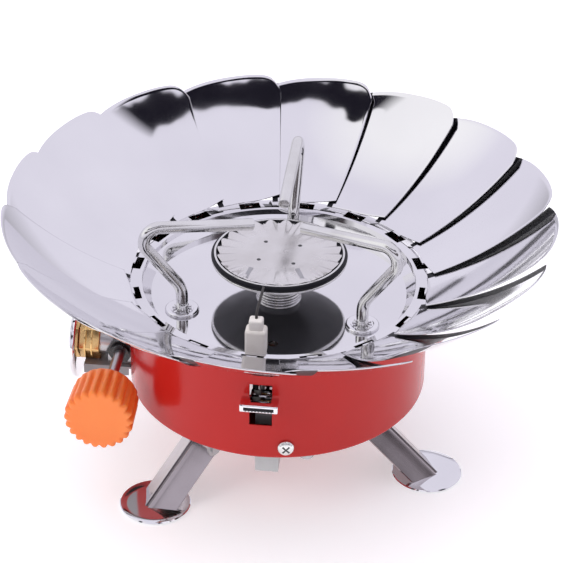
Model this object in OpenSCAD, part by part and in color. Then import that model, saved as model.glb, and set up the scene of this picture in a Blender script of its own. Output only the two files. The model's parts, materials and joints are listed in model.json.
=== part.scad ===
// Collapsible camping gas stove with a folding petal windshield.
// Origin: on the burner axis, at ground level. +Z is up, -Y is the igniter side,
// -X is the gas inlet side. Units are millimetres.

/* [Housing] */
// Outer radius of the round housing
housing_r = 54.9; // [45:0.1:70]
// Height of the housing, from its bottom edge to the rim that carries the pan
housing_h = 40.8; // [34:0.1:52]
// Height of the housing's bottom edge above the ground
ground_gap = 32.3; // [28:0.1:40]
// Sheet thickness of the housing
housing_wall = 0.8; // [0.6:0.1:1.5]

/* [Pan] */
// Depth of the reflecting pan under its rim
pan_depth = 5.1; // [3.5:0.1:6.5]
// Sheet thickness of the pan
pan_t = 0.5; // [0.4:0.1:1]

/* [Windshield] */
// Length of a petal, measured along its curve
petal_len = 56; // [40:0.5:70]
// Slope of a petal where it leaves the pan, in degrees
petal_slope_in = 21; // [15:0.5:26]
// Slope of a petal at its tip, in degrees
petal_slope_out = 50; // [40:0.5:58]
// Sheet thickness of a petal
petal_t = 0.4; // [0.3:0.05:0.6]

/* [Burner] */
// Outer radius of the black sealing ring round the burner head
head_r = 24.8; // [20:0.1:30]
// Height of the top of the burner head above the pan
head_h = 17.5; // [14:0.1:20]
// Outer radius of the mixing tube
tube_r = 6.1; // [5:0.1:8]
// Number of flutes in the burner cap
flute_count = 24; // [16:1:32]

/* [Pot supports] */
// Diameter of the support rod
rod_d = 4.4; // [3.5:0.1:5.5]
// Distance of the pivots from the burner axis
post_r = 37.7; // [35:0.1:42]
// Height of the rod's outer corner above the pan
support_h = 38; // [32:0.1:44]
// Distance of the rod's tip from the burner axis
tip_r = 10.5; // [8:0.1:14]

/* [Legs] */
// Radius of a foot disc
foot_r = 13.1; // [10:0.1:15]
// Sheet thickness of a leg
leg_t = 0.9; // [0.7:0.1:1.4]
// Width of the folded strip
leg_w = 17.4; // [13:0.1:20]

/* [Gas valve] */
// Height of the valve axis above the housing's bottom edge
valve_h = 8.7; // [8:0.1:10]
// Radius of the knob
knob_r = 12.6; // [10:0.1:14]
// Length of the knob
knob_len = 18.6; // [14:0.1:22]
// Radius of the threaded socket for the gas canister
socket_r = 5.56; // [5:0.01:6]

/* [Igniter] */
// Width of the piezo igniter's body
igniter_w = 8.4; // [7:0.1:10]
// Travel of the press lever
lever_travel = 5; // [3:0.5:6]

/* [Hidden] */
$fn = 64;

// Clearances: a running fit, a gap between loose pieces, a gap between moving sheets
fit_gap = 0.05;
loose_gap = 0.3;
sheet_gap = 0.75;

// How far a cutting shape runs past the faces that it cuts
cut_over = 1;

// Levels
base_z = ground_gap;
plate_t = 0.8;
plate_z = base_z + housing_wall;
plate_top = plate_z + plate_t;
rim_z = base_z + housing_h;
pan_top = rim_z + pan_t;
floor_z = pan_top - pan_depth;

// Housing rim flare and bottom lip
flare_r = housing_r + 1.6;
flare_h = 4.2;
lip_r = housing_r - 6.4;
plate_r = housing_r - housing_wall - loose_gap;
edge_r = 1.4;

// Windshield hinge circle
hinge_r = housing_r - 1.1;
hinge_z = pan_top + sheet_gap;
petal_count = 16;
pitch = 360 / petal_count;
first_petal = 108.7;
curve_r = petal_len / (petal_slope_out - petal_slope_in) * 180 / PI;
petal_lift = 0.35;
petal_tilt = 2.6;
petal_twist = 0.04 / 45.5;
petal_cw = pitch * 12.4 / 22.5;
petal_ccw = pitch * 13 / 22.5;
hinge_skew = 16;
hang_left = 1.25;
hang_right = 1.8;
tab_w = 4;
tab_drop = 1.2;
slot_w = 8;
slot_in = 2.6;
slot_out = 1.6;

// Burner
tube_wall = 0.8;
tube_foot = base_z + 15.5;
collar_r = tube_r + 2.15;
collar_h = 3.5;
tube_air_r = 2;
head_top = floor_z + head_h;
cup_r = head_r - 0.6;
cup_t = 0.6;
cap_r = head_r - 2.1;
cap_t = 0.6;
cap_flat_r = cap_r * 0.5;
cap_dip = 1.4;
cup_waist_r = cup_r * 0.62;
flute_r = 0.7;
port_r = 0.8;
port_ring_r = 9;

// Pot supports
rod_r = rod_d / 2;
support_az = [208.5, 328.5, 88.5];
bush_r = rod_r + 1.7;
bush_flange_r = rod_r + 4;
bush_flange_t = 1.2;
bush_len = 11;
support_drop = 7.9;
corner_out = 19.7;
post_rise = 9.5;

// Legs
leg_az = [108, 228, 348];
pin_drop = 11.5;
pin_z = base_z - pin_drop;
pin_r = housing_r - 15.9;
pin_rad = 1.25;
foot_reach = pin_r + 20.5;
leg_end = foot_reach + 2;
leg_fold = 5;
leg_tail = 8.6;
bracket_t = 0.9;
bracket_w = leg_w + 2 * loose_gap + 2 * bracket_t;
bracket_d = 6.4;
rivet_r = 1.5;

// Gas valve, jet and igniter
valve_z = base_z + valve_h;
stem_x = -housing_r - 3.6;
stem_r = 2;
knob_back = -33.4;
knob_bore = 9;
packing_y = 5.45;
packing_t = 2;
pin_hole_r = 1.2;
pin_len = 2.8;
disc_x = stem_x - 18;
disc_r = 15;
disc_t = 2.2;
nut_flats = 13;
nut_len = 7.8;
nut_floor = 1.4;
seal_seat = 1.6;
seal_r = socket_r - 0.16;
gas_r = 1;
valve_body_r = 5.4;
valve_inner = 11.4;
pipe_seat = 3;
pipe_end = 1.6;
notch_w = 15;
ear_w = 14;
ear_x = disc_x + 4;
pipe_r = 2;
jet_r = 5;
jet_stem_r = 1.55;
jet_seat = tube_foot - 2.4;
screw_head_r = 3;
screw_r = 1.5;
screw_az = 279.4;
screw_z = base_z + 5.2;
plate_screw_az = [48, 168, 288];
plate_screw_r = housing_r - 3.6;
plate_screw_head_r = 2.6;
lever_top = rim_z - 13.4;
lever_w = 13.4;
lever_neck_w = 7.2;
lever_foot_w = 4.4;
lever_stop_h = 10;
lever_t = 1;
lever_lip = 2.9;
lever_out = housing_r + 7;
slot_igniter_w = 8;
slot_low = rim_z - 26.4;
slot_high = rim_z - 9.2;
igniter_x = 1.5;
igniter_y = -housing_r + 7.4;
igniter_d = 8;
igniter_low = base_z - 11;
igniter_high = base_z + 14.5;
plunger_r = 1.4;
plunger_depth = 2;
spring_r = 3;
spring_wire_r = 0.35;
spring_turns = 5;
lead_r = 1.1;
wire_r = 0.5;
wire_top = 16.6;
wire_bend = 1.6;
ceramic_foot_r = 2;
ceramic_foot = 6;
electrode_x = -3.3;
electrode_y = -floor_edge() + 5;

// Places one child at each azimuth of a list, at radius r
module around(azimuths, r = 0) {
    for (a = azimuths) rotate([0, 0, a]) translate([r, 0, 0]) children();
}

// A tube or disc standing at height z
module tube(r, h, bore = 0, z = 0) {
    translate([0, 0, z]) difference() {
        cylinder(r = r, h = h);
        if (bore > 0) translate([0, 0, -1]) cylinder(r = bore, h = h + 2);
    }
}

// A shape drawn along +Z is laid along -X from x, at the valve's height
module along_x(x) {
    translate([x, 0, valve_z]) rotate([0, -90, 0]) children();
}

// A shape drawn along +Z is laid along -Y from y, on the knob's axis
module along_knob(y) {
    translate([stem_x, y, valve_z]) rotate([90, 0, 0]) children();
}

// A shape drawn along +Z is laid outwards along the igniter screw, from depth d of the wall
module along_screw(d) {
    rotate([0, 0, screw_az]) translate([housing_r + d, 0, screw_z]) rotate([0, 90, 0]) children();
}

// The cross of a screwdriver slot
module cross_slot(depth) {
    for (a = [45, 135]) rotate([0, 0, a]) translate([-1.6, -0.35, 0]) cube([3.2, 0.7, depth]);
}

function unit(v) = v / norm(v);

// Faces of a swept tube whose points are rings of equal size, first ring to last
function tube_faces(rings, sides) = concat(
    [for (i = [0:rings - 2], k = [0:sides - 1]) let (m = (k + 1) % sides)
        [i * sides + k, i * sides + m, (i + 1) * sides + m, (i + 1) * sides + k]],
    [[for (k = [sides - 1:-1:0]) k], [for (k = [0:sides - 1]) (rings - 1) * sides + k]]);

// ---- Housing ----

// Sheet outline of the housing wall, from the bottom lip to the flared rim
module housing_outline() {
    w = housing_wall;
    polygon(concat(
        [[lip_r, base_z], [housing_r - edge_r, base_z]],
        [for (a = [-67.5:22.5:0])
            [housing_r - edge_r * (1 - cos(a)), base_z + edge_r * (1 + sin(a))]],
        [[housing_r, rim_z - flare_h], [flare_r, rim_z - flare_h / 2], [flare_r, rim_z],
         [flare_r - w, rim_z], [flare_r - w, rim_z - flare_h / 2 + w / 3],
         [housing_r - w, rim_z - flare_h + w / 3], [housing_r - w, base_z + w], [lip_r, base_z + w]]));
}

module housing() {
    color([0.78, 0.16, 0.13]) difference() {
        rotate_extrude() housing_outline();
        // Slot for the igniter lever
        translate([-slot_igniter_w / 2, -housing_r - cut_over, slot_low])
            cube([slot_igniter_w, 6, slot_high - slot_low]);
        // Notch that the gas valve comes out of
        translate([-housing_r - cut_over, -notch_w / 2, base_z - cut_over])
            cube([10, notch_w, valve_h + valve_body_r + cut_over + 1.3]);
        // Hole for the igniter screw
        along_screw(-3) cylinder(r = screw_r + fit_gap, h = 6);
        // Holes for the three screws that hold the base plate
        around(plate_screw_az, plate_screw_r) tube(screw_r + fit_gap, 6, 0, base_z - 2);
    }
}

module base_plate() {
    color([0.75, 0.75, 0.76]) difference() {
        union() {
            tube(plate_r, plate_t, 0, plate_z);
            // Ear that carries the gas valve, with a stiffening lip on each side
            translate([ear_x, -ear_w / 2, plate_z]) cube([-plate_r + 6 - ear_x, ear_w, plate_t]);
            for (y = [-ear_w / 2, ear_w / 2 - plate_t])
                translate([ear_x, y, plate_z - 3]) cube([17, plate_t, 3.4]);
        }
        // Window for the igniter body
        translate([igniter_x - igniter_w / 2 - loose_gap, igniter_y - loose_gap, plate_z - cut_over])
            cube([igniter_w + 2 * loose_gap, igniter_d + 2 * loose_gap, 3]);
        // Air holes under the mixing tube
        around([0:60:300], 17) tube(4, 3, 0, plate_z - 1);
        around(plate_screw_az, plate_screw_r) tube(screw_r + fit_gap, 6, 0, plate_z - 2);
        around(leg_az, pin_r) for (s = [-1, 1]) translate([0, s * bracket_w / 4, 0])
            tube(rivet_r + fit_gap, 6, 0, plate_z - 2);
    }
}

module housing_screws() {
    head = 1.5;
    color([0.7, 0.7, 0.72]) around(plate_screw_az, plate_screw_r) difference() {
        union() {
            tube(screw_r, 4, 0, base_z);
            tube(plate_screw_head_r, head, 0, base_z - head);
        }
        translate([0, 0, base_z - head - 0.5]) cross_slot(1.3);
    }
}

// ---- Pan ----

function floor_edge() = lip_r - 1.5;

module pan() {
    t = pan_t;
    rise = pan_depth - t;
    wall_r = hinge_r - slot_in - 1.2;
    color([0.85, 0.85, 0.87]) difference() {
        rotate_extrude() polygon([
            [0, floor_z - t], [floor_edge(), floor_z - t], [wall_r + t, floor_z + rise * 0.55],
            [wall_r + t, rim_z], [flare_r + 0.6, rim_z], [flare_r + 0.6, pan_top],
            [wall_r, pan_top], [wall_r, floor_z + rise * 0.62], [floor_edge() - t / 2, floor_z],
            [0, floor_z]]);
        tube(tube_r + fit_gap, 6, 0, floor_z - 3);
        around(support_az, post_r) tube(bush_r + fit_gap, 6, 0, floor_z - 3);
        // Slots that the petals hook into
        around([for (i = [0:petal_count - 1]) first_petal - i * pitch], hinge_r)
            translate([-slot_in, -slot_w / 2, rim_z - cut_over])
                cube([slot_in + slot_out, slot_w, 3]);
        // Hole for the electrode's foot, and the air hole beside it
        translate([electrode_x, electrode_y, 0]) tube(ceramic_foot_r + fit_gap, 6, 0, floor_z - 3);
        translate([electrode_x + 5.2, electrode_y + 6.4, 0]) tube(1.7, 6, 0, floor_z - 3);
    }
}

// ---- Burner ----

module mixing_tube() {
    color([0.7, 0.7, 0.72]) difference() {
        tube(tube_r, floor_z + collar_h + 1.5 - tube_foot, tube_r - tube_wall, tube_foot);
        // Air holes round the foot
        for (a = [45:90:315]) rotate([0, 0, a]) translate([0, 0, tube_foot + 5])
            rotate([0, 90, 0]) cylinder(r = tube_air_r, h = 2 * tube_r);
    }
}

module tube_nut() {
    color([0.72, 0.72, 0.74]) translate([0, 0, floor_z - pan_t - 3]) difference() {
        cylinder(r = tube_r + 3.4, h = 3, $fn = 6);
        translate([0, 0, -1]) cylinder(r = tube_r + fit_gap, h = 5);
    }
}

module burner_collar() {
    color([0.8, 0.8, 0.82]) translate([0, 0, floor_z]) rotate_extrude() polygon([
        [tube_r + fit_gap, 0], [collar_r, 0], [collar_r, 0.9], [collar_r - 0.5, 1.3],
        [collar_r - 0.5, 2.1], [collar_r, 2.5], [collar_r, collar_h], [tube_r + fit_gap, collar_h]]);
}

module burner_cup() {
    z0 = floor_z + collar_h + loose_gap;
    color([0.72, 0.72, 0.74]) rotate_extrude() polygon([
        [tube_r + fit_gap, z0], [tube_r + 0.9, z0], [tube_r + 1.4, z0 + 2.4],
        [cup_waist_r, z0 + 5], [cup_r, head_top - 4.4], [cup_r, head_top - 3.2],
        [cup_r - cup_t, head_top - 3.2], [cup_r - cup_t, head_top - 4.1],
        [cup_waist_r - 0.3, z0 + 5.7], [tube_r + 0.7, z0 + 3.1], [tube_r + fit_gap, z0 + 3]]);
}

module burner_ring() {
    color([0.08, 0.08, 0.09]) rotate_extrude() polygon([
        [cap_r - 1.4, head_top - 3.2], [head_r, head_top - 3.2], [head_r, head_top - 1.7],
        [head_r - 0.5, head_top - 1.2], [cap_r + 0.5, head_top - 1.2], [cap_r + 0.2, head_top - 2],
        [cap_r - 1.4, head_top - 2]]);
}

module burner_cap() {
    color([0.82, 0.82, 0.84]) difference() {
        union() {
            translate([0, 0, head_top]) rotate_extrude() polygon([
                [0, -cap_dip], [cap_flat_r, -cap_dip], [cap_r, -2], [cap_r, -2 + cap_t],
                [cap_flat_r, -cap_dip + cap_t], [0, -cap_dip + cap_t]]);
            // Radial flutes pressed into the rim
            around([for (i = [0:flute_count - 1]) i * 360 / flute_count], cap_flat_r)
                translate([0, 0, head_top - 1]) rotate([0, 91, 0])
                    cylinder(r = flute_r, h = cap_r - cap_flat_r - 0.2);
        }
        around([40:90:310], port_ring_r) tube(port_r, 6, 0, head_top - 3);
        // Two slots that carry the flame across the rim
        around([232, 308], cap_flat_r + 3) translate([-2.4, -0.6, head_top - 3]) cube([4.8, 1.2, 4]);
    }
}

// ---- Gas path under the pan ----

module jet_block() {
    color([0.78, 0.62, 0.3]) difference() {
        tube(jet_r, jet_seat - plate_top, 0, plate_top);
        tube(jet_stem_r + fit_gap, 20, 0, valve_z);
        along_x(0) cylinder(r = pipe_r + fit_gap, h = jet_r + cut_over);
    }
}

module jet_nozzle() {
    z0 = jet_seat;
    hole_r = 0.3;
    color([0.8, 0.66, 0.34]) rotate_extrude() polygon([
        [hole_r, z0 - 3], [jet_stem_r, z0 - 3], [jet_stem_r, z0], [3.2, z0], [3.2, z0 + 2.2],
        [1.4, z0 + 4], [hole_r, z0 + 4]]);
}

module gas_pipe() {
    start = stem_x + valve_inner - pipe_seat;
    color([0.72, 0.45, 0.25]) along_x(-pipe_end) tube(pipe_r, -pipe_end - start, pipe_r - 0.7);
}

// ---- Ignition ----

module electrode_ceramic() {
    color([0.93, 0.91, 0.88]) translate([electrode_x, electrode_y, floor_z]) difference() {
        union() {
            translate([-4, -3, 0]) cube([8, 6, 10.6]);
            translate([-2.6, -2.3, 10.6]) cube([5.2, 4.6, 3.8]);
            translate([0, 0, -ceramic_foot]) cylinder(r = ceramic_foot_r, h = ceramic_foot);
        }
        translate([0, 0, -ceramic_foot - cut_over]) cylinder(r = wire_r + fit_gap, h = 26);
    }
}

// The electrode: up through the ceramic, then over to the burner's rim
module electrode_wire() {
    reach = -electrode_y - head_r - 1.6;
    corners = [[0, floor_z - 9], [0, floor_z + wire_top], [reach, floor_z + wire_top + 1]];
    color([0.35, 0.33, 0.32]) translate([electrode_x, electrode_y, 0]) rotate([0, 0, 90])
        swept_rod(bent_path(corners, [0, wire_bend, 0]), wire_r, 10);
}

// High-voltage lead from the igniter's side up to the electrode's foot
module ignition_lead() {
    low = igniter_high - 4;
    high = floor_z - ceramic_foot;
    color([0.15, 0.15, 0.15]) translate([electrode_x, electrode_y, low]) difference() {
        cylinder(r = lead_r, h = high - low);
        translate([0, 0, floor_z - 9 - low - loose_gap]) cylinder(r = wire_r + fit_gap, h = 4);
    }
}

module igniter_body() {
    color([0.8, 0.8, 0.78]) difference() {
        translate([igniter_x - igniter_w / 2, igniter_y, igniter_low])
            cube([igniter_w, igniter_d, igniter_high - igniter_low]);
        // Room for the lead beside the body
        translate([electrode_x, electrode_y, igniter_high - 4 - loose_gap])
            cylinder(r = lead_r + fit_gap, h = 6);
        // Bore that the plunger slides in
        translate([igniter_x, igniter_y + igniter_d / 2, igniter_high - plunger_depth - lever_travel - 1])
            cylinder(r = plunger_r + fit_gap, h = plunger_depth + lever_travel + 2);
    }
}

module igniter_plunger() {
    low = igniter_high - plunger_depth;
    color([0.88, 0.86, 0.8]) translate([igniter_x, igniter_y + igniter_d / 2, low])
        cylinder(r = plunger_r, h = lever_top - lever_t - low);
}

// Return spring round the plunger: a round wire swept along a helix
module igniter_spring() {
    sides = 8;
    rings = 20 * spring_turns + 1;
    low = igniter_high + spring_wire_r + 0.05;
    span = lever_top - lever_t - 2 * spring_wire_r - 0.1 - igniter_high;
    points = [for (i = [0:rings - 1], k = [0:sides - 1])
        let (part = i / (rings - 1), a = 360 * spring_turns * part, b = 360 * k / sides,
             r = spring_r + spring_wire_r * cos(b))
        [r * cos(a), r * sin(a), low + span * part + spring_wire_r * sin(b)]];
    color([0.6, 0.6, 0.62]) translate([igniter_x, igniter_y + igniter_d / 2, 0])
        polyhedron(points, tube_faces(rings, sides));
}

// Press lever: a lipped tab outside, a neck through the slot and a foot over the igniter
module igniter_lever() {
    z0 = lever_top - lever_t;
    inner = igniter_y + igniter_d;
    neck_y = -housing_r + 2.6;
    foot_x = igniter_x - lever_foot_w / 2;
    color([0.86, 0.86, 0.88]) union() {
        translate([-lever_w / 2, -lever_out, z0]) cube([lever_w, lever_out - housing_r - 0.9, lever_t]);
        translate([-lever_w / 2, -lever_out, lever_top - lever_lip]) cube([lever_w, lever_t, lever_lip]);
        translate([-lever_neck_w / 2, -housing_r - 1.5, z0])
            cube([lever_neck_w, neck_y + lever_t + housing_r + 1.5, lever_t]);
        translate([-lever_neck_w / 2, neck_y, lever_top - lever_stop_h])
            cube([lever_neck_w, lever_t, lever_stop_h]);
        translate([foot_x, neck_y, z0]) cube([lever_foot_w, inner - neck_y, lever_t]);
    }
}

// Bracket on the igniter's side that the screw pulls against the housing
module igniter_bracket() {
    side_x = igniter_x + igniter_w / 2;
    low = plate_top + loose_gap;
    high = screw_z + 3.6;
    depth = housing_wall + loose_gap;
    color([0.7, 0.7, 0.72]) difference() {
        union() {
            rotate([0, 0, screw_az]) translate([housing_r - depth - 2, -4, low]) cube([2, 8, high - low]);
            translate([side_x, igniter_y - 4.4, low]) cube([1.5, 10, high - low]);
        }
        along_screw(-12) cylinder(r = screw_r + fit_gap, h = 12);
    }
}

module igniter_screw() {
    color([0.78, 0.78, 0.8]) along_screw(0) difference() {
        union() {
            translate([0, 0, -6]) cylinder(r = screw_r, h = 6.2);
            rotate_extrude() polygon([
                [0, 0], [screw_head_r, 0], [screw_head_r, 0.6], [screw_head_r - 0.7, 1.5], [0, 1.9]]);
        }
        translate([0, 0, 0.7]) cross_slot(2);
    }
}

// ---- Gas valve ----

module valve_body() {
    x0 = stem_x + valve_inner;
    color([0.74, 0.74, 0.76]) difference() {
        union() {
            along_x(x0) cylinder(r = valve_body_r, h = x0 - (disc_x + disc_t + nut_len));
            along_knob(0) cylinder(r = 4.4, h = packing_y);
            translate([stem_x - 5, -5, plate_top]) cube([10, 10, valve_z - plate_top - 2]);
        }
        along_knob(2) cylinder(r = stem_r + fit_gap, h = packing_y + 2 + cut_over);
        along_x(x0) cylinder(r = gas_r, h = 30);
        along_x(x0 + cut_over) cylinder(r = pipe_r + fit_gap, h = pipe_seat + cut_over);
    }
}

module packing_nut() {
    color([0.12, 0.12, 0.13]) along_knob(-packing_y) difference() {
        cylinder(r = 5.2, h = packing_t, $fn = 6);
        translate([0, 0, -cut_over]) cylinder(r = stem_r + fit_gap, h = packing_t + 2 * cut_over);
    }
}

module coupling_nut() {
    color([0.8, 0.62, 0.28]) along_x(disc_x + disc_t + nut_len) difference() {
        rotate([0, 0, 30]) cylinder(r = nut_flats / sqrt(3), h = nut_len, $fn = 6);
        // The canister's thread, and the narrower seat of the seal below it
        translate([0, 0, nut_floor + seal_seat]) cylinder(r = socket_r, h = nut_len);
        translate([0, 0, nut_floor]) cylinder(r = seal_r, h = nut_len);
        translate([0, 0, -cut_over]) cylinder(r = pin_hole_r + fit_gap, h = 4);
    }
}

module connector_disc() {
    color([0.82, 0.82, 0.84]) along_x(disc_x + disc_t) difference() {
        rotate_extrude() polygon([
            [socket_r, 0], [disc_r - 0.6, 0], [disc_r, 0.6], [disc_r, disc_t - 0.4],
            [disc_r - 0.4, disc_t], [socket_r, disc_t]]);
    }
}

module connector_seal() {
    color([0.06, 0.06, 0.06]) along_x(disc_x + disc_t + nut_len - nut_floor)
        tube(seal_r - fit_gap, seal_seat - loose_gap, 2.6);
}

module canister_pin() {
    color([0.8, 0.62, 0.28]) along_x(disc_x + disc_t + nut_len) tube(pin_hole_r, pin_len, 0.5);
}

module valve_stem() {
    back = 1.8;
    color([0.66, 0.66, 0.68]) along_knob(back) cylinder(r = stem_r, h = back - knob_back + knob_bore);
}

module stem_clip() {
    color([0.12, 0.12, 0.13]) along_knob(-packing_y - packing_t - 0.6)
        tube(stem_r + 1.6, 1, stem_r + fit_gap);
}

module knob() {
    flutes = 22;
    color([1, 0.5, 0.22]) along_knob(knob_back) difference() {
        rotate_extrude() polygon([
            [0, 0], [knob_r - 1.6, 0], [knob_r, 1.6], [knob_r - 0.3, knob_len - 1.4],
            [knob_r - 1.5, knob_len], [0, knob_len]]);
        for (i = [0:flutes - 1]) rotate([0, 0, i * 360 / flutes])
            translate([knob_r + 0.5, 0, 1.4]) cylinder(r = 1.15, h = knob_len);
        translate([0, 0, -cut_over]) cylinder(r = stem_r + fit_gap, h = knob_bore + cut_over + 0.2);
    }
}

// ---- Pot supports ----

// Flanged bushes that the support rods turn in
module support_bushes() {
    color([0.82, 0.82, 0.84]) around(support_az, post_r) difference() {
        union() {
            tube(bush_flange_r, bush_flange_t, 0, floor_z);
            tube(bush_r, bush_len, 0, floor_z + 0.4 - bush_len);
        }
        tube(rod_r + fit_gap, bush_len + 6, 0, floor_z - bush_len - 2);
    }
}

// Angle that a path turns through at its point i, and the side that it turns to
function turn(p, i) = acos(unit(p[i] - p[i - 1]) * unit(p[i + 1] - p[i]));
function side(p, i) =
    let (a = p[i] - p[i - 1], b = p[i + 1] - p[i]) sign(a[0] * b[1] - a[1] * b[0]);

// Points round the bend of radius r at a path's point i, about one for each 9 degrees
function bend_points(p, i, r) = let (
    d = unit(p[i] - p[i - 1]), n = side(p, i) * [-d[1], d[0]], sweep = turn(p, i),
    start = p[i] - d * r * tan(sweep / 2), steps = ceil(sweep / 9))
    [for (k = [0:steps]) let (b = sweep * k / steps) start + n * r + r * (d * sin(b) - n * cos(b))];

// A path in the XZ plane with its inner corners rounded
function bent_path(p, bend) = let (last = len(p) - 1) concat(
    [p[0]], [for (i = [1:last - 1]) each bend_points(p, i, bend[i])], [p[last]]);

// A round rod along such a path
module swept_rod(path, r, sides) {
    last = len(path) - 1;
    points = [for (i = [0:last], k = [0:sides - 1])
        let (d = unit(path[min(i + 1, last)] - path[max(i - 1, 0)]), b = 360 * k / sides)
        [path[i][0] - r * cos(b) * d[1], r * sin(b), path[i][1] + r * cos(b) * d[0]]];
    polyhedron(points, tube_faces(len(path), sides));
}

module pot_support(n) {
    top_z = floor_z + support_h;
    foot_z = floor_z - bush_len - 1.6;
    post_top = floor_z + post_rise - 4;
    corners = [
        [post_r, post_top - 1], [post_r, floor_z + post_rise],
        [post_r + corner_out, top_z], [tip_r, top_z - support_drop]];
    color([0.84, 0.84, 0.86]) rotate([0, 0, support_az[n]]) {
        // The upright post, the collar under its bush that keeps it in, and the bent arm
        translate([post_r, 0, foot_z]) cylinder(r = rod_r, h = post_top - foot_z);
        translate([post_r, 0, floor_z - bush_len - 0.9]) cylinder(r = rod_r + 1.8, h = 1);
        swept_rod(bent_path(corners, [0, 11, 5, 0]), rod_r - 0.01, 20);
    }
}

module pot_support_1() { pot_support(0); }
module pot_support_2() { pot_support(1); }
module pot_support_3() { pot_support(2); }

// ---- Legs ----

// Folded strip from its tail, past the pin, down onto the foot disc
module leg(n) {
    slope = atan2(pin_z - leg_t, leg_end - pin_r);
    length = (leg_end - pin_r) / cos(slope);
    color([0.8, 0.8, 0.82]) rotate([0, 0, leg_az[n]]) difference() {
        union() {
            translate([foot_reach, 0, 0]) cylinder(r = foot_r, h = leg_t);
            intersection() {
                translate([pin_r, 0, pin_z]) rotate([0, 90 + slope, 0])
                    translate([0, 0, -leg_tail])
                        linear_extrude(height = leg_tail + length + 8) leg_section();
                translate([pin_r - 20, -20, 0]) cube([foot_reach - pin_r + 31, 40, base_z]);
            }
            // Knuckle round the pin
            across(leg_w) cylinder(r = pin_rad + 1.1, h = leg_w);
        }
        across(leg_w + 2 * cut_over) cylinder(r = pin_rad + fit_gap, h = leg_w + 2 * cut_over);
    }
}

// A shape drawn along +Z for length w is centred across a leg, on its pin
module across(w) {
    translate([pin_r, w / 2, pin_z]) rotate([90, 0, 0]) children();
}

// Roof-shaped section of the strip: its ridge points along -X here
module leg_section() {
    h = leg_w / 2;
    t = leg_t;
    polygon([
        [-leg_fold * 0.3, 0], [leg_fold * 0.7, h], [leg_fold * 0.7 + t, h],
        [-leg_fold * 0.3 + t * 1.15, 0], [leg_fold * 0.7 + t, -h], [leg_fold * 0.7, -h]]);
}

module leg_1() { leg(0); }
module leg_2() { leg(1); }
module leg_3() { leg(2); }

// U-shaped brackets under the base plate
module leg_brackets() {
    half = bracket_w / 2;
    back = -bracket_d / 2;
    color([0.7, 0.7, 0.72]) around(leg_az) difference() {
        union() {
            translate([pin_r + back, -half, plate_z - bracket_t]) cube([bracket_d, bracket_w, bracket_t]);
            for (y = [-half, half - bracket_t]) translate([pin_r, y, 0]) {
                translate([back, 0, pin_z]) cube([bracket_d, bracket_t, plate_z - pin_z]);
                translate([0, bracket_t, pin_z]) rotate([90, 0, 0])
                    cylinder(r = bracket_d / 2, h = bracket_t);
            }
        }
        for (s = [-1, 1]) translate([pin_r, s * bracket_w / 4, 0])
            tube(rivet_r + fit_gap, 6, 0, plate_z - 4);
        across(bracket_w + 2) cylinder(r = pin_rad + fit_gap, h = bracket_w + 2);
    }
}

module leg_pins() {
    head_t = 0.7;
    length = bracket_w + 2 * head_t;
    color([0.6, 0.6, 0.62]) around(leg_az) across(length) {
        cylinder(r = pin_rad, h = length);
        for (z = [0, length - head_t]) translate([0, 0, z]) cylinder(r = pin_rad + 0.7, h = head_t);
    }
}

module leg_rivets() {
    rivet_head_r = rivet_r + 0.9;
    head_t = 0.6;
    low = plate_z - bracket_t;
    color([0.65, 0.65, 0.67]) around(leg_az, pin_r)
        for (s = [-1, 1]) translate([0, s * bracket_w / 4, 0]) {
            tube(rivet_r, plate_t + bracket_t, 0, low);
            tube(rivet_head_r, head_t, 0, plate_top);
            tube(rivet_head_r, head_t, 0, low - head_t);
        }
}

// ---- Windshield petals ----

// Height of the bowl's curve at distance q outwards of the hinge circle
function bowl(q) = curve_r * (cos(petal_slope_in) - sqrt(1 - pow(sin(petal_slope_in) + q / curve_r, 2)));
function petal_reach() = curve_r * (sin(petal_slope_out) - sin(petal_slope_in));

// Sheet height at distance q and angle a (clockwise) from the petal's own centre line
function sheet_z(q, a) = let (w = (hinge_r + q) * sin(a))
    bowl(q) + petal_lift + w * tan(petal_tilt) + petal_twist * w * q;

// The base edge steps back at the clockwise corner, the tip is scalloped with a round corner there
function base_q(a) = 0.4 + 2.2 * pow(max(0, (a / petal_cw - 0.15) / 0.85), 1.5);
function tip_q(a) = petal_reach() - 1.6 * pow(abs(a / petal_cw), 2.6)
    - 3.4 * pow(max(0, (a / petal_cw - 0.62) / 0.38), 3);

function petal_point(i, j, rows, cols, drop) = let (
    a = -petal_ccw + (petal_cw + petal_ccw) * j / cols,
    q = base_q(a) + (tip_q(a) - base_q(a)) * i / rows)
    [(hinge_r + q) * cos(a), -(hinge_r + q) * sin(a), hinge_z + sheet_z(q, a) + drop];

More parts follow.
